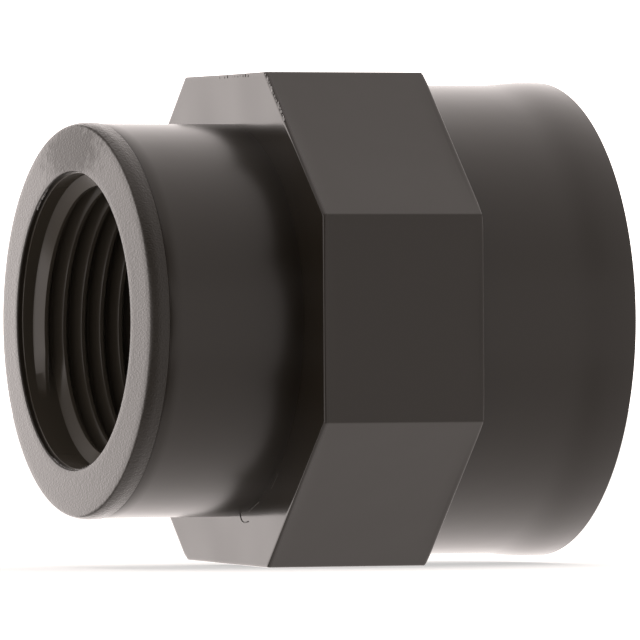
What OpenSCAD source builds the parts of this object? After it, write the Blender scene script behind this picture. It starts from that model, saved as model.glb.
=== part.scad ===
// Reducing nipple with a female pipe thread in each end, moulded in one piece.
//
// The body lies on one flat of its octagonal wrench section. Its axis runs
// along X and its small end faces -X. The origin is below the middle of its
// length, on the plane that the flat rests on. All sizes are in millimetres.
// The threads themselves are left out: each socket is bored to the crest of
// its thread, behind a short plain mouth that clears the male thread.

/* [Small end] */
// Outside diameter of the small barrel
small_od = 35.4; // [32:0.1:42]
// Length of the small barrel, from its mouth to the wrench section
small_len = 14.9; // [10:0.1:40]
// Length of the faint collar round the small mouth
collar_len = 2.1; // [1.8:0.1:5]
// Height of the collar above the small barrel
collar_rise = 0.08; // [0.02:0.02:0.4]
// Angle at which the small mouth's face slopes back towards its rim
face_slope = 4; // [1:0.5:8]
// Radius of the rim round the small mouth
rim_r = 0.3; // [0.1:0.05:0.5]
// Angle at which the collar's side leans in at the rim
rim_lean = 25; // [10:1:35]
// Radius of the bulge that rounds the collar's side
collar_bulge_r = 2.5; // [1:0.1:3]

/* [Wrench section] */
// Width of the octagon across its flats
across_flats = 44.4; // [43.4:0.1:60]
// Length of the octagon along the axis
wrench_len = 15.6; // [10:0.1:30]
// Radius turned on the eight corners that face the large end
corner_turn_r = 0.7; // [0.2:0.1:2]

/* [Large end] */
// Outside diameter of the large barrel
large_od = 42.6; // [38:0.1:43.8]
// Length of the large barrel, from the wrench section to its mouth
large_len = 15.2; // [9:0.1:40]
// How far the large barrel swells towards its mouth, on the radius
flare_rise = 0.27; // [0.05:0.01:0.5]
// Distance from the large mouth at which the swell starts
flare_start = 6; // [3:0.1:8]
// Distance from the large mouth at which the swell is complete
flare_end = 1.5; // [0.5:0.1:2.5]
// Radius of the edge round the large mouth
lip_r = 0.3; // [0.1:0.05:0.4]

/* [Small socket, for a G 3/4 thread] */
// Diameter of the thread's crest, to which the socket is bored
small_crest_d = 24.3; // [23:0.1:25]
// Diameter of the plain mouth, which clears the male thread
small_mouth_d = 26.5; // [25.5:0.1:30]
// Depth at which the plain mouth ends and the thread begins
small_mouth_len = 1.55; // [1:0.05:4]
// Depth of the socket, from the mouth to its seat
small_depth = 17; // [8:0.1:21]

/* [Large socket, for a G 1 thread] */
// Diameter of the thread's crest, to which the socket is bored
large_crest_d = 30.5; // [24:0.1:32]
// Diameter of the plain mouth, which clears the male thread
large_mouth_d = 33.3; // [32:0.1:38]
// Depth at which the plain mouth ends and the thread begins
large_mouth_len = 1.8; // [1:0.05:4]
// Depth of the socket, from the mouth to its seat
large_depth = 20.5; // [10:0.1:25]

/* [Both sockets] */
// Depth of the shallow recess in each mouth
recess_depth = 0.5; // [0.2:0.05:0.9]
// How much wider each recess is than the mouth behind it, on the radius
recess_rise = 0.15; // [0.05:0.05:0.4]
// Angle of the thread's flank, which the lead-in to the bore follows
flank_angle = 27.5; // [20:0.5:45]
// Radius in the corner at the bottom of each socket
seat_fillet_r = 0.6; // [0.2:0.1:1]

/* [Passage] */
// Diameter of the passage that joins the sockets
passage_d = 21; // [10:0.1:22]
// Radius on the edge where the passage opens into each socket
passage_edge_r = 0.6; // [0.2:0.1:0.8]

/* [Hidden] */
$fn = 96;
arc_steps = 8;
flare_steps = 10;
cut_margin = 1;
corner_margin = 0.1;

wrench_sides = 8;
half_side_angle = 180 / wrench_sides;
corner_r = across_flats / 2 / cos(half_side_angle);
wrench_end = small_len + wrench_len;
total_len = wrench_end + large_len;

collar_r = small_od / 2 + collar_rise;
lip_outer_r = large_od / 2 + flare_rise;

// Profiles are lists of [radius, distance from the small mouth].

// Points along an arc, from one angle to another
function arc(centre, radius, from, to) = [
    for (i = [0 : arc_steps])
        let (angle = from + (to - from) * i / arc_steps)
            centre + radius * [cos(angle), sin(angle)]
];

// Smooth swell of the large barrel, flat at both of its ends
function flare() = [
    for (i = [0 : flare_steps])
        let (t = i / flare_steps)
            [
                large_od / 2 + flare_rise * (1 - cos(180 * t)) / 2,
                total_len - flare_start + (flare_start - flare_end) * t
            ]
];

// Sloping face of the small mouth, its rim and the bulging side of its collar
function mouth_profile() =
    let (
        face_r = small_mouth_d / 2 + recess_rise,
        rim_centre_r = collar_r - collar_bulge_r + (collar_bulge_r - rim_r) * cos(rim_lean),
        rim_start_r = rim_centre_r + rim_r * sin(face_slope),
        rim_depth = (rim_start_r - face_r) * tan(face_slope) + rim_r * cos(face_slope),
        bulge_depth = rim_depth + (collar_bulge_r - rim_r) * sin(rim_lean)
    )
    concat(
        [[0, 0], [face_r, 0]],
        arc([rim_centre_r, rim_depth], rim_r, face_slope - 90, -rim_lean),
        arc([collar_r - collar_bulge_r, bulge_depth], collar_bulge_r, -rim_lean, 0)
    );

// Outline of both barrels, with their step hidden inside the wrench section
function barrel_profile() = concat(
    mouth_profile(),
    [
        [collar_r, collar_len - collar_rise],
        [small_od / 2, collar_len],
        [small_od / 2, small_len + wrench_len / 2],
        [large_od / 2, small_len + wrench_len / 2]
    ],
    flare(),
    arc([lip_outer_r - lip_r, total_len - lip_r], lip_r, 0, 90),
    [[0, total_len]]
);

// Turned outline that rounds the octagon's corners at its far end only
function turned_profile() = concat(
    [
        [0, 0],
        [corner_r + corner_margin, 0]
    ],
    arc([corner_r + corner_margin - corner_turn_r, wrench_len - corner_turn_r],
        corner_turn_r, 0, 90),
    [[0, wrench_len]]
);

// Hollow of a socket: recess, plain mouth, lead-in, bore and seat
function socket_profile(mouth_d, mouth_len, crest_d, depth) =
    let (
        mouth_r = mouth_d / 2,
        crest_r = crest_d / 2,
        lead_in = (mouth_r - crest_r) * tan(flank_angle)
    )
    concat(
        [
            [0, -cut_margin],
            [mouth_r + recess_rise, -cut_margin],
            [mouth_r + recess_rise, recess_depth],
            [mouth_r, recess_depth],
            [mouth_r, mouth_len],
            [crest_r, mouth_len + lead_in]
        ],
        arc([crest_r - seat_fillet_r, depth - seat_fillet_r], seat_fillet_r, 0, 90),
        [[0, depth]]
    );

// Hollow of the passage, with an edge rounded into each seat
function passage_profile() =
    let (
        edge_centre_r = passage_d / 2 + passage_edge_r,
        first_seat = small_depth,
        last_seat = total_len - large_depth
    )
    concat(
        [
            [0, first_seat - cut_margin],
            [edge_centre_r, first_seat - cut_margin]
        ],
        arc([edge_centre_r, first_seat + passage_edge_r], passage_edge_r, -90, -180),
        arc([edge_centre_r, last_seat - passage_edge_r], passage_edge_r, 180, 90),
        [
            [edge_centre_r, last_seat + cut_margin],
            [0, last_seat + cut_margin]
        ]
    );

module barrels() {
    rotate_extrude() polygon(barrel_profile());
}

module wrench_octagon() {
    translate([0, 0, small_len])
        intersection() {
            rotate([0, 0, half_side_angle])
                cylinder(h = wrench_len, r = corner_r, $fn = wrench_sides);
            rotate_extrude() polygon(turned_profile());
        }
}

module small_socket() {
    rotate_extrude()
        polygon(socket_profile(small_mouth_d, small_mouth_len, small_crest_d, small_depth));
}

module large_socket() {
    translate([0, 0, total_len])
        mirror([0, 0, 1])
            rotate_extrude()
                polygon(socket_profile(large_mouth_d, large_mouth_len, large_crest_d, large_depth));
}

module passage() {
    rotate_extrude() polygon(passage_profile());
}

// The whole moulding, laid down on one flat of its octagon
module body() {
    color("#3d3a37")
        translate([-total_len / 2, 0, across_flats / 2])
            rotate([0, 90, 0])
                difference() {
                    union() {
                        barrels();
                        wrench_octagon();
                    }
                    small_socket();
                    large_socket();
                    passage();
                }
}

body();
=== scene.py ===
import math

import bmesh
import bpy
from mathutils import Matrix, Vector


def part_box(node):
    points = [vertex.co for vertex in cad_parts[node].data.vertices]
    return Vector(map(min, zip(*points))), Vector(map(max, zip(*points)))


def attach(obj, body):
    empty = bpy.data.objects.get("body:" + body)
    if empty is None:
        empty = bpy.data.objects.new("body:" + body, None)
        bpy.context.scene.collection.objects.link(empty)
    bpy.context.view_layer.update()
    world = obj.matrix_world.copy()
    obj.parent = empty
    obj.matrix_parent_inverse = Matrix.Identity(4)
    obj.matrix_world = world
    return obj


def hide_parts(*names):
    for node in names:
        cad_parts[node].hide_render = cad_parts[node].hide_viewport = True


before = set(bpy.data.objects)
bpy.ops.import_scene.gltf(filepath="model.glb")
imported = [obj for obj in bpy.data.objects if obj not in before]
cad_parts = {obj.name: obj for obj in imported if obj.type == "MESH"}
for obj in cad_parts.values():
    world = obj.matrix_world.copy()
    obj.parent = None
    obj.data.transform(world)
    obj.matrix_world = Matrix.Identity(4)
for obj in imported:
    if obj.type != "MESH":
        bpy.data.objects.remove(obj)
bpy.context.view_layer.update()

# The camera
# It stands a metre off behind a very long lens, level with the fitting's lower half and turned
# 23.5 degrees towards the small mouth, which is where the photograph was taken from.
MM = 0.001
VIEW_AIM_MM = (-2.52, -8.84, 22.15)
VIEW_DISTANCE_MM = 1020.8
VIEW_TURN_DEG = -23.493
VIEW_RISE_DEG = -0.285
VIEW_ROLL_DEG = -0.373
SENSOR_MM = 36.0
LENS_MM = 640.25
FARTHEST_SEEN_M = 10.0


def add_object(name, data):
    """Adds an object that shows this camera, mesh or curve."""
    added = bpy.data.objects.new(name, data)
    bpy.context.scene.collection.objects.link(added)
    return added


camera = add_object("camera", bpy.data.cameras.new("camera"))
camera.data.sensor_width = SENSOR_MM
camera.data.lens = LENS_MM
camera.data.clip_end = FARTHEST_SEEN_M
camera.matrix_world = (
    Matrix.Translation(Vector(VIEW_AIM_MM) * MM)
    @ Matrix.Rotation(math.radians(VIEW_TURN_DEG), 4, "Z")
    @ Matrix.Rotation(math.radians(90 - VIEW_RISE_DEG), 4, "X")
    @ Matrix.Rotation(math.radians(VIEW_ROLL_DEG), 4, "Z")
    @ Matrix.Translation((0, 0, VIEW_DISTANCE_MM * MM))
)
bpy.context.scene.camera = camera


# The light tent and its table
# The back wall is the brightest and the right wall falls off towards the front. The left wall is black
# cloth with a low white strip in it and a pale roof over it, which gives the dark parts their depth.
def add_node(tree, kind, *feeds, **settings):
    """Adds a node. Values, sockets or nodes feed its inputs in order, or by name from one dict."""
    node = tree.nodes.new(kind)
    for name, value in settings.items():
        setattr(node, name, value)
    by_name = feeds[0] if feeds and isinstance(feeds[0], dict) else dict(enumerate(feeds))
    for key, value in by_name.items():
        source = value.outputs[0] if isinstance(value, bpy.types.Node) else value
        if isinstance(source, bpy.types.NodeSocket):
            tree.links.new(source, node.inputs[key])
        else:
            node.inputs[key].default_value = source
    return node


def linear_colour(hex_code):
    """An sRGB hex colour as linear RGBA."""
    channels = [int(hex_code[i:i + 2], 16) / 255 for i in (1, 3, 5)]
    return [c / 12.92 if c < 0.04045 else ((c + 0.055) / 1.055) ** 2.4 for c in channels] + [1.0]


def empty_material(name):
    """A new material with nothing in its node tree."""
    material = bpy.data.materials.new(name)
    material.use_nodes = True
    material.node_tree.nodes.clear()
    return material


TENT_COLOUR = "#FFF6F3"
SIDE_LEVEL = 1.15
BACK_GAIN = 0.87
BACK_CURVE = 0.36
BLACK_CLOTH_LEVEL = 0.24
RIGHT_WALL_FROM = -0.05
RIGHT_WALL_TO = 0.32
STRIP_FROM = 0.44
STRIP_TO = 0.30
STRIP_LEVEL = 1.17
ROOF_FROM = 0.66
ROOF_TO = 0.82
ROOF_LEVEL = 0.7
LENS_DIRECTION = (-0.25, -0.97, 0.0)
LENS_GAP_FROM = 0.93
LENS_GAP_TO = 0.99
LENS_GAP_LEVEL = 0.15

world = bpy.data.worlds.new("light_tent")
world.use_nodes = True
tent = world.node_tree
tent.nodes.clear()
direction = add_node(tent, "ShaderNodeTexCoord").outputs["Generated"]
along = add_node(tent, "ShaderNodeSeparateXYZ", direction).outputs
falloff = add_node(tent, "ShaderNodeMath", along["Y"], BACK_CURVE, BACK_GAIN, operation="MULTIPLY_ADD")
wall_level = add_node(tent, "ShaderNodeMath", along["Y"], falloff, SIDE_LEVEL, operation="MULTIPLY_ADD")
height = add_node(tent, "ShaderNodeMath", along["Z"], operation="ABSOLUTE")
right_wall = add_node(tent, "ShaderNodeMapRange", along["X"], RIGHT_WALL_FROM, RIGHT_WALL_TO,
                      interpolation_type="SMOOTHSTEP")
strip = add_node(tent, "ShaderNodeMapRange", height, STRIP_FROM, STRIP_TO, 0.0, STRIP_LEVEL,
                 interpolation_type="SMOOTHSTEP")
roof = add_node(tent, "ShaderNodeMapRange", height, ROOF_FROM, ROOF_TO, 0.0, ROOF_LEVEL,
                interpolation_type="SMOOTHSTEP")
left_wall = add_node(tent, "ShaderNodeMath", strip, roof, operation="MAXIMUM")
white = add_node(tent, "ShaderNodeMath", left_wall, right_wall, operation="MAXIMUM")
cloth = add_node(tent, "ShaderNodeMath", white, 1 - BLACK_CLOTH_LEVEL, BLACK_CLOTH_LEVEL,
                 operation="MULTIPLY_ADD")
towards_lens = add_node(tent, "ShaderNodeVectorMath", direction, LENS_DIRECTION, operation="DOT_PRODUCT")
gap = add_node(tent, "ShaderNodeMapRange", towards_lens.outputs["Value"], LENS_GAP_FROM, LENS_GAP_TO,
               1.0, LENS_GAP_LEVEL, interpolation_type="SMOOTHSTEP")
level = add_node(tent, "ShaderNodeMath", wall_level, cloth, operation="MULTIPLY")
level = add_node(tent, "ShaderNodeMath", level, gap, operation="MULTIPLY")
background = add_node(tent, "ShaderNodeBackground", linear_colour(TENT_COLOUR), level)
add_node(tent, "ShaderNodeOutputWorld", background)
bpy.context.scene.world = world

TABLE_COLOUR = "#F3F2F0"
TABLE_GLOW_COLOUR = "#FFFFFF"
TABLE_HALF_MM = 4000
TABLE_LIFT = 0.5

# White acrylic: lifted to pure white where the lens or a mirror sees it
table_top = empty_material("white_acrylic")
tree = table_top.node_tree
rays = add_node(tree, "ShaderNodeLightPath").outputs
seen = add_node(tree, "ShaderNodeMath", rays["Is Camera Ray"], rays["Is Glossy Ray"],
                operation="MAXIMUM")
seen = add_node(tree, "ShaderNodeMath", seen, rays["Is Transmission Ray"], operation="MAXIMUM")
lift = add_node(tree, "ShaderNodeMath", seen, TABLE_LIFT, operation="MULTIPLY")
glow = add_node(tree, "ShaderNodeEmission", linear_colour(TABLE_GLOW_COLOUR), lift)
sheet = add_node(tree, "ShaderNodeBsdfDiffuse", linear_colour(TABLE_COLOUR))
both = add_node(tree, "ShaderNodeAddShader", sheet, glow)
add_node(tree, "ShaderNodeOutputMaterial", both)

table_mesh = bpy.data.meshes.new("table")
reach = TABLE_HALF_MM * MM
table_corners = [(-reach, -reach, 0), (reach, -reach, 0), (reach, reach, 0), (-reach, reach, 0)]
table_mesh.from_pydata(table_corners, [], [(0, 1, 2, 3)])
table_mesh.materials.append(table_top)
table = add_object("table", table_mesh)
# The photograph is as bright below the fitting as above it, so the table throws no shade on it
table.visible_diffuse = False
table.visible_glossy = False
table.visible_shadow = False

# The moulding
# The fitting is one injection moulding in black polypropylene. Polished steel formed its outside and its
# sockets, and a spark-eroded plate formed the grainy face round the small mouth.
PLASTIC_COLOUR = "#27221B"
# Lighter in the sockets: painted light for the light that reaches deep into them
SOCKET_PAINTED_LIGHT_COLOUR = "#47423A"
SATIN_ROUGHNESS = 0.28
POLISHED_ROUGHNESS = 0.12
SOCKET_ROUGHNESS = 0.17
GRAINY_ROUGHNESS = 0.28
GRAINY_SHEEN = 0.47
SCUFFED_SHEEN = 0.15
POLYMER_IOR = 1.55
GRAIN_MM = 0.16
GRAIN_DEPTH_MM = 0.047
GRAIN_STRETCH = (1.0, 0.45, 1.0)
GRAIN_DETAIL = 2.0
SINK_MM = 7.0
SATIN_RIPPLE_MM = 0.035
SATIN_RIPPLE_DETAIL = 2.0
POLISHED_RIPPLE_MM = 0.12
POLISHED_RIPPLE_DETAIL = 0.0
SCUFF_CENTRE_MM = (-22.8, 0.6, 37.6)
SCUFF_HALF_SIZE_MM = (9.0, 6.6, 2.6)
SCUFF_MOTTLE_MM = 0.7
SCUFF_MOTTLE_DETAIL = 3.0
SCUFF_RAGGEDNESS = 1.2
SCUFF_OUTER_EDGE = 2.0
SCUFF_INNER_EDGE = 1.2


def rippled_plastic(name, roughness, ripple_mm, ripple_detail):
    """A black plastic that ripples gently over some millimetres, where the moulding has shrunk."""
    material = empty_material(name)
    tree = material.node_tree
    place = add_node(tree, "ShaderNodeTexCoord").outputs["Object"]
    sinks = add_node(tree, "ShaderNodeTexNoise",
                     {"Vector": place, "Scale": 1 / (SINK_MM * MM), "Detail": ripple_detail})
    ripple = add_node(tree, "ShaderNodeBump",
                      {"Height": sinks, "Strength": 1.0, "Distance": ripple_mm * MM})
    skin = add_node(tree, "ShaderNodeBsdfPrincipled", {
        "Base Color": linear_colour(PLASTIC_COLOUR),
        "Roughness": roughness,
        "IOR": POLYMER_IOR,
        "Normal": ripple,
    })
    add_node(tree, "ShaderNodeOutputMaterial", skin)
    return material


# Satin black plastic: warm black in the mass, with a white sheen where it mirrors the tent at a low angle
satin = rippled_plastic(
    "satin_black_polypropylene", SATIN_ROUGHNESS, SATIN_RIPPLE_MM, SATIN_RIPPLE_DETAIL)

# Polished black plastic: smoother, so that it mirrors the barrel that stands on it, with a wavy outline
polished = rippled_plastic(
    "polished_black_polypropylene", POLISHED_ROUGHNESS, POLISHED_RIPPLE_MM, POLISHED_RIPPLE_DETAIL)

# The sockets' plastic: smooth and flat, and lighter than the outside's. The lighter colour is painted
# light that stands in for the light reaching deep into the sockets.
socket_painted_light = empty_material("socket_black_polypropylene_painted_light")
tree = socket_painted_light.node_tree
skin = add_node(tree, "ShaderNodeBsdfPrincipled", {
    "Base Color": linear_colour(SOCKET_PAINTED_LIGHT_COLOUR),
    "Roughness": SOCKET_ROUGHNESS,
    "IOR": POLYMER_IOR,
})
add_node(tree, "ShaderNodeOutputMaterial", skin)

# Grainy black plastic: fine pits spread and speckle its sheen, and a scuff at the top takes some of it
# away. The pits are drawn a little coarser than they are, so that they show.
grainy = empty_material("spark_eroded_black_polypropylene")
tree = grainy.node_tree
place = add_node(tree, "ShaderNodeTexCoord").outputs["Object"]
drawn = add_node(tree, "ShaderNodeVectorMath", place, GRAIN_STRETCH, operation="MULTIPLY")
pits = add_node(tree, "ShaderNodeTexNoise",
                {"Vector": drawn, "Scale": 1 / (GRAIN_MM * MM), "Detail": GRAIN_DETAIL})
grain = add_node(tree, "ShaderNodeBump",
                 {"Height": pits, "Strength": 1.0, "Distance": GRAIN_DEPTH_MM * MM})
from_scuff = add_node(tree, "ShaderNodeVectorMath", place, [v * MM for v in SCUFF_CENTRE_MM],
                      operation="SUBTRACT")
from_scuff = add_node(tree, "ShaderNodeVectorMath", from_scuff, [v * MM for v in SCUFF_HALF_SIZE_MM],
                      operation="DIVIDE")
from_scuff = add_node(tree, "ShaderNodeVectorMath", from_scuff, operation="LENGTH").outputs["Value"]
mottle = add_node(tree, "ShaderNodeTexNoise",
                  {"Vector": place, "Scale": 1 / (SCUFF_MOTTLE_MM * MM), "Detail": SCUFF_MOTTLE_DETAIL})
ragged = add_node(tree, "ShaderNodeMath", mottle, SCUFF_RAGGEDNESS, from_scuff, operation="MULTIPLY_ADD")
scuff = add_node(tree, "ShaderNodeMapRange", ragged, SCUFF_OUTER_EDGE, SCUFF_INNER_EDGE,
                 interpolation_type="SMOOTHSTEP")
sheen = add_node(tree, "ShaderNodeMapRange", scuff, 0.0, 1.0, GRAINY_SHEEN, SCUFFED_SHEEN)
skin = add_node(tree, "ShaderNodeBsdfPrincipled", {
    "Base Color": linear_colour(PLASTIC_COLOUR),
    "Roughness": GRAINY_ROUGHNESS,
    "IOR": POLYMER_IOR,
    "Specular IOR Level": sheen,
    "Normal": grain,
})
add_node(tree, "ShaderNodeOutputMaterial", skin)

# A face's finish is given by its number in this order
finishes = (satin, grainy, socket_painted_light, polished)
SATIN, GRAINY, SOCKET_PAINTED_LIGHT, POLISHED = range(len(finishes))

# The outside
# A small barrel with a shallow collar round its mouth, an octagonal wrench section and a large barrel that
# swells at its mouth, all moulded in one. Each ring of points runs round the axis in the same columns.
COLUMNS = 192
FLATS = 8
EDGE_STEPS = 5

SMALL_BARREL_R = 17.7
SMALL_BARREL_LENGTH = 14.9
COLLAR_LENGTH = 2.13
COLLAR_GROOVE_DEPTH = 0.08
COLLAR_GROOVE_WIDTH = 0.34
RIM_FACE_WIDTH = 3.09
RIM_FACE_SLOPE_DEG = 3.0
# Each arc of the rim: its radius, the slope in degrees at which it ends, and its steps
RIM_ARCS = ((7.6, 8.5, 4), (0.36, 65.0, 8), (2.0, 90.0, 6))
FOOT_MARGIN = 0.15

WRENCH_LENGTH = 15.6
WRENCH_EDGE_RADIUS = 0.2
WRENCH_EDGE_STEPS = 3
WRENCH_CORNER_RADIUS = 0.3
WRENCH_CORNER_OFFSETS_DEG = (0.0, 0.14, 0.3, 0.5)
WRENCH_SINK_DEPTH = 0.2
WRENCH_SINK_POWER = 6
BLUNTED_DEPTH = 0.47
BLUNTED_LENGTH = 8.0
WRENCH_TURN_RADIUS = 0.6
WRENCH_TURN_MARGIN = 0.1
WRENCH_TURN_STEPS = 7

LARGE_BARREL_R = 21.3
LARGE_LIP_R = 21.57
LARGE_FLARE_START = 6.0
LARGE_FLARE_END = 1.5
LARGE_FLARE_STEPS = 8
LARGE_EDGE_RADIUS = 0.12

SMALL_MOUTH_R = 13.25
SMALL_PLAIN_DEPTH = 1.2
LARGE_MOUTH_R = 16.65
LARGE_PLAIN_DEPTH = 1.4
RECESS_DEPTH = 0.5
RECESS_RISE = 0.15
RECESS_CHAMFER = 0.04
MOUTH_EDGE_RADIUS = 0.15
LARGE_MOUTH_CHAMFER = 0.05

# How many rings divide each even stretch
SMALL_FACE_RINGS = 4
SMALL_BARREL_RINGS = 11
WRENCH_FRONT_RINGS = 2
FLAT_RINGS = 13
WRENCH_BACK_RINGS = 1
LARGE_BARREL_RINGS = 8
LARGE_FACE_RINGS = 3

low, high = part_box("body")
small_mouth_x = low.x / MM
large_mouth_x = high.x / MM
axis_height = (low.z + high.z) / 2 / MM
across_flats = (high.z - low.z) / MM
total_length = large_mouth_x - small_mouth_x
wrench_end = SMALL_BARREL_LENGTH + WRENCH_LENGTH


def arc(centre_depth, centre_r, radius, start_deg, end_deg, steps):
    """Points (depth, r) on an arc. Zero degrees faces the small mouth, and 90 degrees faces outwards."""
    points = []
    for step in range(steps + 1):
        angle = math.radians(start_deg + (end_deg - start_deg) * step / steps)
        points.append((centre_depth - radius * math.cos(angle), centre_r + radius * math.sin(angle)))
    return points


def column_angle(column):
    """The first column points to the far side, and the one a quarter of the way round points up."""
    return 2 * math.pi * column / COLUMNS


def place_ring(depths, radii, angles):
    """Points round the axis, in metres. Depths are counted from the small mouth."""
    return [
        Vector((small_mouth_x + depth, r * math.cos(a), axis_height + r * math.sin(a))) * MM
        for depth, r, a in zip(depths, radii, angles)
    ]


def round_ring(depth, radius):
    """One ring of a round part, with a point in every column."""
    angles = [column_angle(c) for c in range(COLUMNS)]
    return place_ring([depth] * COLUMNS, [radius] * COLUMNS, angles)


def wrench_angle(column):
    """Columns of the octagon, crowded towards its corners so that each corner gets a round edge."""
    per_flat = COLUMNS // FLATS
    half = per_flat // 2
    from_corner = column % per_flat - half
    crowded = WRENCH_CORNER_OFFSETS_DEG
    if abs(from_corner) < len(crowded):
        offset = crowded[abs(from_corner)]
    else:
        share = (abs(from_corner) - len(crowded) + 1) / (half - len(crowded) + 1)
        offset = crowded[-1] + (180 / FLATS - crowded[-1]) * share
    return column_angle(column - from_corner) + math.copysign(math.radians(offset), from_corner)


def octagon_radius(angle, apothem, corner_radius):
    """Distance from the axis to an octagon with round corners, flats facing up, down and to the sides."""
    side = 2 * math.pi / FLATS
    from_flat = (angle + side / 2) % side - side / 2
    from_corner = side / 2 - abs(from_flat)
    centre = (apothem - corner_radius) / math.cos(side / 2)
    tangent = side / 2 - math.atan((apothem - corner_radius) * math.tan(side / 2) / apothem)
    if from_corner >= tangent:
        return apothem / math.cos(from_flat)
    offset = centre * math.sin(from_corner)
    return centre * math.cos(from_corner) + math.sqrt(corner_radius ** 2 - offset ** 2)


def turned_limit(depth):
    """Radius to which the octagon's rear corners are turned down."""
    corner_r = across_flats / 2 / math.cos(math.pi / FLATS) + WRENCH_TURN_MARGIN
    into = depth - (wrench_end - WRENCH_TURN_RADIUS)
    if into <= 0:
        return corner_r
    return corner_r - WRENCH_TURN_RADIUS + math.sqrt(max(WRENCH_TURN_RADIUS ** 2 - into ** 2, 0))


def flat_sink(angle, depth):
    """How far a flat has sunk as the moulding shrank: most in its middle, and not at its corners."""
    side = 2 * math.pi / FLATS
    across = math.tan((angle + side / 2) % side - side / 2) / math.tan(side / 2)
    along = (depth - SMALL_BARREL_LENGTH) / WRENCH_LENGTH * 2 - 1
    return WRENCH_SINK_DEPTH * (1 - across ** 2) * (1 - along ** WRENCH_SINK_POWER)


def corner_blunting(side, depth):
    """How far the bottom flat falls short at its front corner on the far side."""
    half_width = across_flats / 2 * math.tan(math.pi / FLATS)
    share = (side + half_width) / (2 * half_width) - (depth - SMALL_BARREL_LENGTH) / BLUNTED_LENGTH
    return BLUNTED_DEPTH * min(max(share, 0), 1)


def wrench_ring(depth, inset):
    """One ring of the octagon, with its sunk flats, turned rear corners and one blunted corner."""
    points = []
    for column in range(COLUMNS):
        angle = wrench_angle(column)
        radius = octagon_radius(angle, across_flats / 2 - inset, WRENCH_CORNER_RADIUS)
        radius = min(radius - flat_sink(angle, depth), turned_limit(depth))
        side = radius * math.cos(angle)
        rise = radius * math.sin(angle)
        rise = max(rise, corner_blunting(side, depth) + inset - across_flats / 2)
        points.append(Vector((small_mouth_x + depth, side, axis_height + rise)) * MM)
    return points


def between(ring_a, ring_b, count):
    """Rings evenly spaced between two others."""
    return [
        [a.lerp(b, (step + 1) / (count + 1)) for a, b in zip(ring_a, ring_b)]
        for step in range(count)
    ]


def small_rim_profile(start):
    """The small mouth's sloping face, then the arcs of its shoulder, its corner and its bulging side."""
    heading = math.radians(RIM_FACE_SLOPE_DEG)
    depth = start[0] + RIM_FACE_WIDTH * math.sin(heading)
    radius = start[1] + RIM_FACE_WIDTH * math.cos(heading)
    points = [(depth, radius)]
    for arc_radius, end_deg, steps in RIM_ARCS:
        start_deg = math.degrees(heading)
        centre_depth = points[-1][0] + arc_radius * math.cos(heading)
        centre_r = points[-1][1] - arc_radius * math.sin(heading)
        points += arc(centre_depth, centre_r, arc_radius, start_deg, end_deg, steps)[1:]
        heading = math.radians(end_deg)
    return points


small_opening_r = SMALL_MOUTH_R + RECESS_RISE
mouth_edge = [
    (SMALL_PLAIN_DEPTH, SMALL_MOUTH_R),
    (RECESS_DEPTH + RECESS_CHAMFER, SMALL_MOUTH_R),
    (RECESS_DEPTH, SMALL_MOUTH_R + RECESS_CHAMFER),
    (RECESS_DEPTH, small_opening_r),
]
recess_wall = len(mouth_edge) - 1
mouth_edge += arc(MOUTH_EDGE_RADIUS, small_opening_r + MOUTH_EDGE_RADIUS, MOUTH_EDGE_RADIUS,
                  -90, 0, EDGE_STEPS)
rim_profile = small_rim_profile(mouth_edge[-1])
collar_r = rim_profile[-1][1]
outside = [round_ring(d, r) for d, r in mouth_edge]
outside += between(outside[-1], round_ring(*rim_profile[0]), SMALL_FACE_RINGS)
outside += [round_ring(d, r) for d, r in rim_profile]
outside += [
    round_ring(COLLAR_LENGTH - COLLAR_GROOVE_WIDTH / 2, collar_r),
    round_ring(COLLAR_LENGTH, SMALL_BARREL_R - COLLAR_GROOVE_DEPTH),
    round_ring(COLLAR_LENGTH + COLLAR_GROOVE_WIDTH / 2, SMALL_BARREL_R),
]
grainy_end = len(outside) - 2
small_foot = round_ring(SMALL_BARREL_LENGTH - FOOT_MARGIN, SMALL_BARREL_R)
outside += between(outside[-1], small_foot, SMALL_BARREL_RINGS) + [small_foot]
outside += [round_ring(SMALL_BARREL_LENGTH, SMALL_BARREL_R)]
polished_start = len(outside) - 1
front_margin = wrench_ring(SMALL_BARREL_LENGTH, 2 * WRENCH_EDGE_RADIUS)
outside += between(outside[-1], front_margin, WRENCH_FRONT_RINGS) + [front_margin]
for step in range(WRENCH_EDGE_STEPS + 1):
    turn = math.radians(90 * step / WRENCH_EDGE_STEPS)
    depth = SMALL_BARREL_LENGTH + WRENCH_EDGE_RADIUS * (1 - math.cos(turn))
    outside.append(wrench_ring(depth, WRENCH_EDGE_RADIUS * (1 - math.sin(turn))))
polished_end = len(outside)
flat_start = wrench_ring(SMALL_BARREL_LENGTH + 2 * WRENCH_EDGE_RADIUS, 0)
flat_end = wrench_ring(wrench_end - WRENCH_TURN_RADIUS, 0)
outside += [flat_start] + between(flat_start, flat_end, FLAT_RINGS) + [flat_end]
for step in range(1, WRENCH_TURN_STEPS + 1):
    turn = math.radians(90 - 90 * step / WRENCH_TURN_STEPS)
    depth = wrench_end - WRENCH_TURN_RADIUS * (1 - math.cos(turn))
    into_edge = max(depth - (wrench_end - WRENCH_EDGE_RADIUS), 0)
    inset = WRENCH_EDGE_RADIUS - math.sqrt(max(WRENCH_EDGE_RADIUS ** 2 - into_edge ** 2, 0))
    outside.append(wrench_ring(depth, inset))
large_foot = round_ring(wrench_end, LARGE_BARREL_R)
outside += between(outside[-1], large_foot, WRENCH_BACK_RINGS) + [large_foot]
flare_foot = round_ring(total_length - LARGE_FLARE_START, LARGE_BARREL_R)
outside += between(outside[-1], flare_foot, LARGE_BARREL_RINGS) + [flare_foot]
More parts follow.
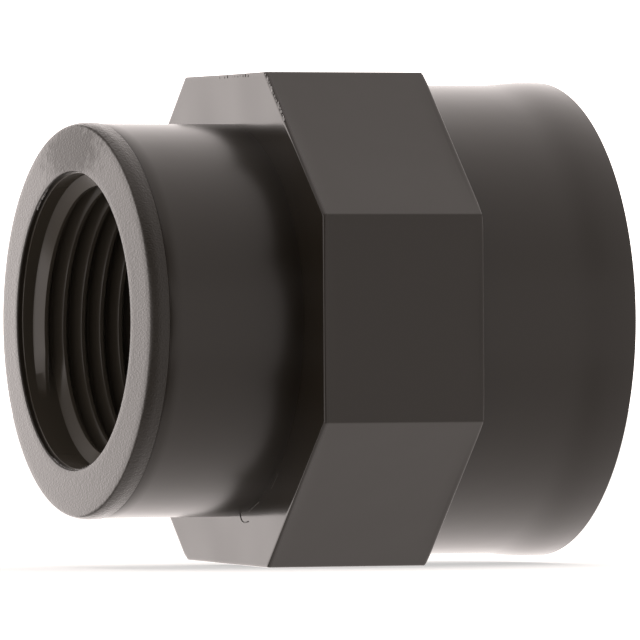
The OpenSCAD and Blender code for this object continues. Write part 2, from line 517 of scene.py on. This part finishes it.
for step in range(1, LARGE_FLARE_STEPS + 1):
    share = step / LARGE_FLARE_STEPS
    depth = total_length - LARGE_FLARE_START + (LARGE_FLARE_START - LARGE_FLARE_END) * share
    swell = (LARGE_LIP_R - LARGE_BARREL_R) * (1 - math.cos(math.pi * share)) / 2
    outside.append(round_ring(depth, LARGE_BARREL_R + swell))
lip_edge = arc(total_length - LARGE_EDGE_RADIUS, LARGE_LIP_R - LARGE_EDGE_RADIUS, LARGE_EDGE_RADIUS,
               90, 180, EDGE_STEPS)
outside += [round_ring(d, r) for d, r in lip_edge]
large_opening_r = LARGE_MOUTH_R + RECESS_RISE
large_edge = [
    (total_length, large_opening_r + LARGE_MOUTH_CHAMFER),
    (total_length - LARGE_MOUTH_CHAMFER, large_opening_r),
    (total_length - RECESS_DEPTH, large_opening_r),
    (total_length - RECESS_DEPTH, LARGE_MOUTH_R + RECESS_CHAMFER),
    (total_length - RECESS_DEPTH - RECESS_CHAMFER, LARGE_MOUTH_R),
    (total_length - LARGE_PLAIN_DEPTH, LARGE_MOUTH_R),
]
outside += between(outside[-1], round_ring(*large_edge[0]), LARGE_FACE_RINGS)
outside += [round_ring(d, r) for d, r in large_edge]


def add_shell(target, rings, finish_at):
    """Adds bands of faces between rings that follow each other, each band in one finish."""
    rows = [[target.verts.new(point) for point in ring] for ring in rings]
    for band in range(len(rows) - 1):
        for c in range(COLUMNS):
            following = (c + 1) % COLUMNS
            face = target.faces.new((rows[band][c], rows[band][following],
                                     rows[band + 1][following], rows[band + 1][c]))
            face.material_index = finish_at(band)


def outside_finish(band):
    """The finish of each band, from the small socket's mouth to the large one's."""
    if band < recess_wall or band >= len(outside) - len(large_edge):
        return SOCKET_PAINTED_LIGHT
    if recess_wall < band < grainy_end:
        return GRAINY
    return POLISHED if polished_start <= band < polished_end else SATIN


moulding = bmesh.new()
add_shell(moulding, outside, outside_finish)

# The passage
# A plain hole through the web between the two sockets, formed where the two core pins meet. Its edges
# and the corners of both seats are rounded, as on the pins.
SMALL_CREST_R = 12.15
SMALL_SEAT_DEPTH = 17.0
LARGE_CREST_R = 15.25
LARGE_SEAT_DEPTH = 20.5
SEAT_RADIUS = 0.6
PASSAGE_R = 10.5
PASSAGE_EDGE_RADIUS = 0.6

large_seat = total_length - LARGE_SEAT_DEPTH
edge_centre_r = PASSAGE_R + PASSAGE_EDGE_RADIUS
passage = (
    arc(SMALL_SEAT_DEPTH - SEAT_RADIUS, SMALL_CREST_R - SEAT_RADIUS, SEAT_RADIUS, 90, 180, EDGE_STEPS)
    + [(SMALL_SEAT_DEPTH, edge_centre_r)]
    + arc(SMALL_SEAT_DEPTH + PASSAGE_EDGE_RADIUS, edge_centre_r, PASSAGE_EDGE_RADIUS,
          360, 270, EDGE_STEPS)[1:]
    + arc(large_seat - PASSAGE_EDGE_RADIUS, edge_centre_r, PASSAGE_EDGE_RADIUS, 270, 180, EDGE_STEPS)
    + arc(large_seat + SEAT_RADIUS, LARGE_CREST_R - SEAT_RADIUS, SEAT_RADIUS, 0, 90, EDGE_STEPS)
)
add_shell(moulding, [round_ring(d, r) for d, r in passage], lambda band: SOCKET_PAINTED_LIGHT)

# The threads
# A right-hand pipe thread inside each mouth, G 3/4 in the small end and G 1 in the large one. A threaded
# core pin formed each and was screwed out, so it starts in a short ramp and fades out at the seat.

# Each starts a whole number of columns round, so that its points meet those of the mouth and the passage
THREADS = {
    "small_thread": {
        "Mouth": small_mouth_x * MM,
        "Inwards": 1.0,
        "Pitch": 1.814 * MM,
        "Root Radius": SMALL_MOUTH_R * MM,
        "Crest Radius": SMALL_CREST_R * MM,
        "First Ridge": 2.19 * MM,
        "Starts At": SMALL_PLAIN_DEPTH * MM,
        "Ends At": (SMALL_SEAT_DEPTH - SEAT_RADIUS) * MM,
        "Start Turn": -17 / COLUMNS,
        "Groove Turns": 6.6,
    },
    "large_thread": {
        "Mouth": large_mouth_x * MM,
        "Inwards": -1.0,
        "Pitch": 2.309 * MM,
        "Root Radius": LARGE_MOUTH_R * MM,
        "Crest Radius": LARGE_CREST_R * MM,
        "First Ridge": 2.8 * MM,
        "Starts At": LARGE_PLAIN_DEPTH * MM,
        "Ends At": (LARGE_SEAT_DEPTH - SEAT_RADIUS) * MM,
        "Start Turn": 30 / COLUMNS,
        "Groove Turns": 6.4,
    },
}
# Widths across a ridge are shares of a pitch, measured from its middle
HALF_CREST = 0.083
HALF_BASE = 0.46
THREAD_FORM = {
    "Axis Height": axis_height * MM,
    "Half Crest": HALF_CREST,
    "Half Base": HALF_BASE,
    "Crest Rounding": 0.05,
    "Ramp Turns": 0.053,
    "Fade Turns": 0.5,
}
# The strip has rows at these widths on both sides, crowded where the crest is rounded
HALF_ROWS = (0.06, HALF_CREST, 0.105, HALF_BASE, 0.5)
STRIP_START_TURN = -2
STRIP_END_TURN = 10
WELD_M = 3e-6


def start_tree(name, kinds):
    """A Geometry Nodes tree with these named inputs, and the identifier of each."""
    tree = bpy.data.node_groups.new(name, "GeometryNodeTree")
    tree.interface.new_socket("Geometry", in_out="INPUT", socket_type="NodeSocketGeometry")
    sockets = {
        key: tree.interface.new_socket(key, in_out="INPUT", socket_type="NodeSocket" + kind).identifier
        for key, kind in kinds.items()
    }
    tree.interface.new_socket("Geometry", in_out="OUTPUT", socket_type="NodeSocketGeometry")
    return tree, sockets


def plain_mesh(maker):
    """The plain mesh that an object makes with its curve or its modifiers. The object itself goes."""
    bpy.context.view_layer.update()
    depsgraph = bpy.context.evaluated_depsgraph_get()
    mesh = bpy.data.meshes.new_from_object(maker.evaluated_get(depsgraph))
    bpy.data.objects.remove(maker)
    return mesh


def grown_mesh(name, start_mesh, tree, sockets, settings):
    """The plain mesh that a tree makes out of another mesh."""
    maker = add_object(name, start_mesh)
    modifier = maker.modifiers.new(tree.name, "NODES")
    modifier.node_group = tree
    for key, value in settings.items():
        modifier[sockets[key]] = value
    return plain_mesh(maker)


def join_mesh(target, mesh, finish):
    """Adds a mesh to another that is being built, all of it in one finish."""
    before = len(target.faces)
    target.from_mesh(mesh)
    target.faces.ensure_lookup_table()
    for face in target.faces[before:]:
        face.material_index = finish


thread_kinds = dict.fromkeys([*THREADS["small_thread"], *THREAD_FORM], "Float")
tree, thread_sockets = start_tree("pipe_thread", {**thread_kinds, "Finish": "Material"})
given = add_node(tree, "NodeGroupInput").outputs

# Each point of the flat strip stands at so many turns along the thread and so far across its ridge
position = add_node(tree, "GeometryNodeInputPosition")
strip_place = add_node(tree, "ShaderNodeSeparateXYZ", position).outputs
turn, across = strip_place["X"], strip_place["Y"]
pitches = add_node(tree, "ShaderNodeMath", turn, across, operation="ADD")
depth = add_node(tree, "ShaderNodeMath", pitches, given["Pitch"], given["First Ridge"],
                 operation="MULTIPLY_ADD")
depth = add_node(tree, "ShaderNodeMath", depth, given["Starts At"], operation="MAXIMUM")
depth = add_node(tree, "ShaderNodeMath", depth, given["Ends At"], operation="MINIMUM")

# The ridge's height: straight flanks, a flat crest with rounded edges, a ramp at its start
from_middle = add_node(tree, "ShaderNodeMath", across, operation="ABSOLUTE")
flank = add_node(tree, "ShaderNodeMapRange", from_middle, given["Half Base"], given["Half Crest"],
                 clamp=False)
flank = add_node(tree, "ShaderNodeMath", flank, 1.0, given["Crest Rounding"], operation="SMOOTH_MIN")
flank = add_node(tree, "ShaderNodeMath", flank, 0.0, operation="MAXIMUM")
ramp = add_node(tree, "ShaderNodeMath", turn, given["Ramp Turns"], operation="DIVIDE", use_clamp=True)
ridge = add_node(tree, "ShaderNodeMath", flank, ramp, operation="MULTIPLY")

# The groove fades out near the seat, where the wall rises to the crest all round
beyond_groove = add_node(tree, "ShaderNodeMath", pitches, given["Groove Turns"], operation="SUBTRACT")
fade = add_node(tree, "ShaderNodeMath", beyond_groove, given["Fade Turns"],
                operation="DIVIDE", use_clamp=True)
ridge = add_node(tree, "ShaderNodeMath", ridge, fade, operation="MAXIMUM")
radius = add_node(tree, "ShaderNodeMapRange", ridge, 0.0, 1.0,
                  given["Root Radius"], given["Crest Radius"])

# The strip is wound round the axis, clockwise into its own mouth
wound = add_node(tree, "ShaderNodeMath", turn, given["Inwards"], given["Start Turn"],
                 operation="MULTIPLY_ADD")
angle = add_node(tree, "ShaderNodeMath", wound, 2 * math.pi, operation="MULTIPLY")
sideways = add_node(tree, "ShaderNodeMath", angle, operation="COSINE")
upwards = add_node(tree, "ShaderNodeMath", angle, operation="SINE")
place_x = add_node(tree, "ShaderNodeMath", depth, given["Inwards"], given["Mouth"],
                   operation="MULTIPLY_ADD")
place_y = add_node(tree, "ShaderNodeMath", radius, sideways, operation="MULTIPLY")
place_z = add_node(tree, "ShaderNodeMath", radius, upwards, given["Axis Height"],
                   operation="MULTIPLY_ADD")
placed = add_node(tree, "ShaderNodeCombineXYZ", place_x, place_y, place_z)
shaped = add_node(tree, "GeometryNodeSetPosition", {"Geometry": given["Geometry"], "Position": placed})
welded = add_node(tree, "GeometryNodeMergeByDistance", {"Geometry": shaped, "Distance": WELD_M})
real = add_node(tree, "GeometryNodeRealizeInstances", welded)
finished = add_node(tree, "GeometryNodeSetMaterial", {"Geometry": real, "Material": given["Finish"]})
add_node(tree, "NodeGroupOutput", finished)

rows = [-row for row in reversed(HALF_ROWS)] + list(HALF_ROWS)
stations = (STRIP_END_TURN - STRIP_START_TURN) * COLUMNS + 1
strip_points = [
    (STRIP_START_TURN + station / COLUMNS, row, 0)
    for station in range(stations)
    for row in rows
]
strip_faces = [
    (first, first + len(rows), first + len(rows) + 1, first + 1)
    for station in range(stations - 1)
    for first in range(station * len(rows), (station + 1) * len(rows) - 1)
]
for name, sizes in THREADS.items():
    strip_mesh = bpy.data.meshes.new(name)
    strip_mesh.from_pydata(strip_points, [], strip_faces)
    settings = {**sizes, **THREAD_FORM, "Finish": socket_painted_light}
    join_mesh(moulding, grown_mesh(name, strip_mesh, tree, thread_sockets, settings), SOCKET_PAINTED_LIGHT)

# The flash
# Torn crumbs of plastic on the parting edges, where the mould's halves met badly: round parts of the small
# mouth's opening and on the octagon's two upper front edges. Three hair-thin strands lie on its front.
FLASH_RUNS = {
    "flash_above_mouth": {
        "Crumbs": 15, "Smallest": 0.08 * MM, "Largest": 0.22 * MM, "Seed": 3, "Finish": GRAINY,
    },
    "flash_below_mouth": {
        "Crumbs": 24, "Smallest": 0.07 * MM, "Largest": 0.18 * MM, "Seed": 5, "Finish": GRAINY,
    },
    "flash_on_upper_flat": {
        "Crumbs": 18, "Smallest": 0.11 * MM, "Largest": 0.28 * MM, "Seed": 8, "Finish": POLISHED,
    },
    "flash_on_top_flat": {
        "Crumbs": 12, "Smallest": 0.08 * MM, "Largest": 0.16 * MM, "Seed": 13, "Finish": SATIN,
    },
}
MOUTH_FLASH_DEPTH = 0.14
MOUTH_FLASH_STEPS = 12
ABOVE_MOUTH_DEG = (50, 63)
BELOW_MOUTH_DEG = (-66, -106)
# Flats are counted from the far side's upper one. A run along one is given as shares of its width.
UPPER_FLAT = 2
UPPER_FLASH_SHARES = (0.02, 0.34)
UPPER_FLASH_RISE = -0.02
UPPER_FLASH_DEPTH = 0.06
TOP_FLAT = 1
TOP_FLASH_SHARES = (0.44, 0.80)
TOP_FLASH_RISE = -0.26
TOP_FLASH_DEPTH = 0.0
FLASH_SPREAD = (0.02, 0.05, 0.05)
FLAKE_SHAPE = (0.25, 1.0, 1.0)
FLAKE_TILT_RAD = (math.pi, 0.1, 0.1)

# The strands' middle lines, sideways and upwards in millimetres
HOOK_LINE = ((-3.0, 4.8), (-3.2, 4.3), (-3.7, 4.0), (-4.3, 4.0), (-4.9, 4.1))
LOWER_LINE = ((-5.1, 5.0), (-6.3, 5.5), (-7.5, 5.9))
UPPER_LINE = ((-10.2, 7.1), (-11.1, 7.8), (-11.8, 8.5))
HOOK_RADIUS = 0.06
STRAND_RADIUS = 0.025
STRAND_WELD_M = 1e-7


def opening_run(start_deg, end_deg):
    """Points along the edge of the small mouth's opening."""
    count = MOUTH_FLASH_STEPS + 1
    turns = [start_deg + (end_deg - start_deg) * step / MOUTH_FLASH_STEPS for step in range(count)]
    angles = [math.radians(turn) for turn in turns]
    return place_ring([MOUTH_FLASH_DEPTH] * count, [small_opening_r] * count, angles)


def flat_run(flat, rise, depth, shares):
    """Two points this far above and behind the front edge of one of the octagon's flats."""
    half_step = math.pi / FLATS
    corner_r = (across_flats / 2 + rise) / math.cos(half_step)
    angles = [half_step + 2 * half_step * (flat + corner) for corner in (0, 1)]
    first, second = place_ring([SMALL_BARREL_LENGTH + depth] * 2, [corner_r] * 2, angles)
    return [first.lerp(second, share) for share in shares]


def strand_mesh(line, radius):
    """A hair-thin round strand that lies along a line on the octagon's front."""
    curve = bpy.data.curves.new("flash_strand", "CURVE")
    curve.dimensions = "3D"
    curve.bevel_depth = radius * MM
    curve.bevel_resolution = 1
    curve.use_fill_caps = True
    spline = curve.splines.new("NURBS")
    spline.points.add(len(line) - 1)
    spline.use_endpoint_u = True
    spline.order_u = 3
    for point, (side, height) in zip(spline.points, line):
        place = Vector((small_mouth_x + SMALL_BARREL_LENGTH, side, height)) * MM
        point.co = (*place, 1.0)
    return plain_mesh(add_object("flash_strand", curve))


flash_lines = {
    "flash_above_mouth": opening_run(*ABOVE_MOUTH_DEG),
    "flash_below_mouth": opening_run(*BELOW_MOUTH_DEG),
    "flash_on_upper_flat": flat_run(UPPER_FLAT, UPPER_FLASH_RISE, UPPER_FLASH_DEPTH, UPPER_FLASH_SHARES),
    "flash_on_top_flat": flat_run(TOP_FLAT, TOP_FLASH_RISE, TOP_FLASH_DEPTH, TOP_FLASH_SHARES),
}
flash_kinds = {
    "Crumbs": "Int",
    "Smallest": "Float",
    "Largest": "Float",
    "Seed": "Int",
    "Finish": "Material",
}
tree, flash_sockets = start_tree("mould_flash", flash_kinds)
given = add_node(tree, "NodeGroupInput").outputs

# Flakes of random sizes stand at random tilts along the line, shifted a little off it
line = add_node(tree, "GeometryNodeMeshToCurve", given["Geometry"])
spots = add_node(tree, "GeometryNodeResampleCurve", {"Curve": line, "Count": given["Crumbs"]})
spots = add_node(tree, "GeometryNodeCurveToPoints", {"Curve": spots}, mode="EVALUATED")
farthest = [spread * MM for spread in FLASH_SPREAD]
nearest = [-spread * MM for spread in FLASH_SPREAD]
shift = add_node(tree, "FunctionNodeRandomValue",
                 {"Min": nearest, "Max": farthest, "Seed": given["Seed"]}, data_type="FLOAT_VECTOR")
spots = add_node(tree, "GeometryNodeSetPosition", {"Geometry": spots, "Offset": shift})
crumb = add_node(tree, "GeometryNodeMeshIcoSphere", {"Radius": 1.0, "Subdivisions": 1})
size = add_node(tree, "FunctionNodeRandomValue",
                {2: given["Smallest"], 3: given["Largest"], "Seed": given["Seed"]}, data_type="FLOAT")
flake = add_node(tree, "ShaderNodeVectorMath", {0: FLAKE_SHAPE, "Scale": size.outputs[1]},
                 operation="SCALE")
tilt = add_node(tree, "FunctionNodeRandomValue", {"Max": FLAKE_TILT_RAD, "Seed": given["Seed"]},
                data_type="FLOAT_VECTOR")
crumbs = add_node(tree, "GeometryNodeInstanceOnPoints",
                  {"Points": spots, "Instance": crumb, "Rotation": tilt, "Scale": flake})
real = add_node(tree, "GeometryNodeRealizeInstances", crumbs)
finished = add_node(tree, "GeometryNodeSetMaterial", {"Geometry": real, "Material": given["Finish"]})
add_node(tree, "NodeGroupOutput", finished)

flash = bmesh.new()
for name, sizes in FLASH_RUNS.items():
    line = flash_lines[name]
    line_mesh = bpy.data.meshes.new(name)
    line_mesh.from_pydata(line, [(n, n + 1) for n in range(len(line) - 1)], [])
    settings = {**sizes, "Finish": finishes[sizes["Finish"]]}
    join_mesh(flash, grown_mesh(name, line_mesh, tree, flash_sockets, settings), sizes["Finish"])
join_mesh(flash, strand_mesh(HOOK_LINE, HOOK_RADIUS), SATIN)
join_mesh(flash, strand_mesh(LOWER_LINE, STRAND_RADIUS), SATIN)
join_mesh(flash, strand_mesh(UPPER_LINE, STRAND_RADIUS), SATIN)
bmesh.ops.remove_doubles(flash, verts=flash.verts, dist=STRAND_WELD_M)
flash_mesh = bpy.data.meshes.new("flash")
flash.to_mesh(flash_mesh)
flash.free()

# The whole moulding
# The outside, the passage and the two threaded walls are welded into one closed skin, because the real
# fitting is one piece.
SHARP_ANGLE_DEG = 38

bmesh.ops.remove_doubles(moulding, verts=moulding.verts, dist=WELD_M)
bmesh.ops.recalc_face_normals(moulding, faces=moulding.faces)
for face in moulding.faces:
    face.smooth = True
for edge in moulding.edges:
    edge.smooth = edge.calc_face_angle(0.0) < math.radians(SHARP_ANGLE_DEG)
moulding.from_mesh(flash_mesh)
body_mesh = bpy.data.meshes.new("moulded_body")
moulding.to_mesh(body_mesh)
moulding.free()
for finish in finishes:
    body_mesh.materials.append(finish)
body = add_object("moulded_body", body_mesh)

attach(body, "root")
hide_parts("body")

bpy.context.scene.view_settings.view_transform = "Standard"
